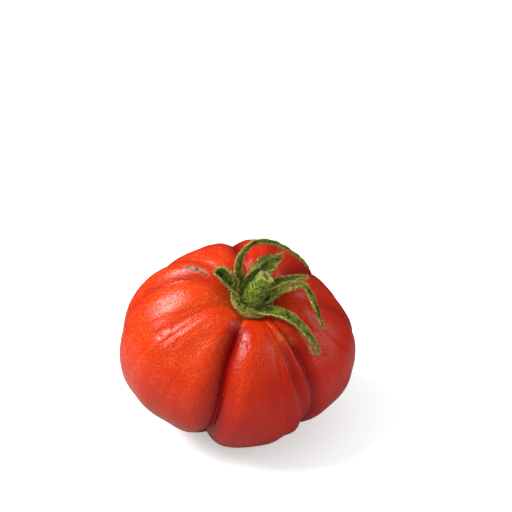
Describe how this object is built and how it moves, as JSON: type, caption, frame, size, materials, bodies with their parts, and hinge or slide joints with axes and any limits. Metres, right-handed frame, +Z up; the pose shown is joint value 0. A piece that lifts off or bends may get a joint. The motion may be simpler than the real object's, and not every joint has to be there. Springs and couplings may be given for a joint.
{
  "type": "tomato",
  "caption": "Whole ribbed beefsteak tomato with deep furrows, a green calyx of curling sepals and a short cut stem, resting on its base.",
  "frame": {"origin": "middle of the small flat spot that the fruit rests on", "axes": "+Z up from the surface it rests on; the stem end leans towards +X and -Y; -Y is the side with the deepest furrow, and +X is to the right seen from there"},
  "size_m": [0.0894, 0.0843, 0.0764],
  "materials": {
    "skin": "glossy ripe tomato skin, red with orange mottling towards the stem end",
    "sepal": "matt hairy green leaf, paler along the edges and dry brown at some tips",
    "stem": "matt hairy green stalk with a pale cut end and a brown pith"
  },
  "bodies": {
    "root": {"fruit": "skin", "calyx": "sepal", "stem": "stem"}
  },
  "joints": []
}
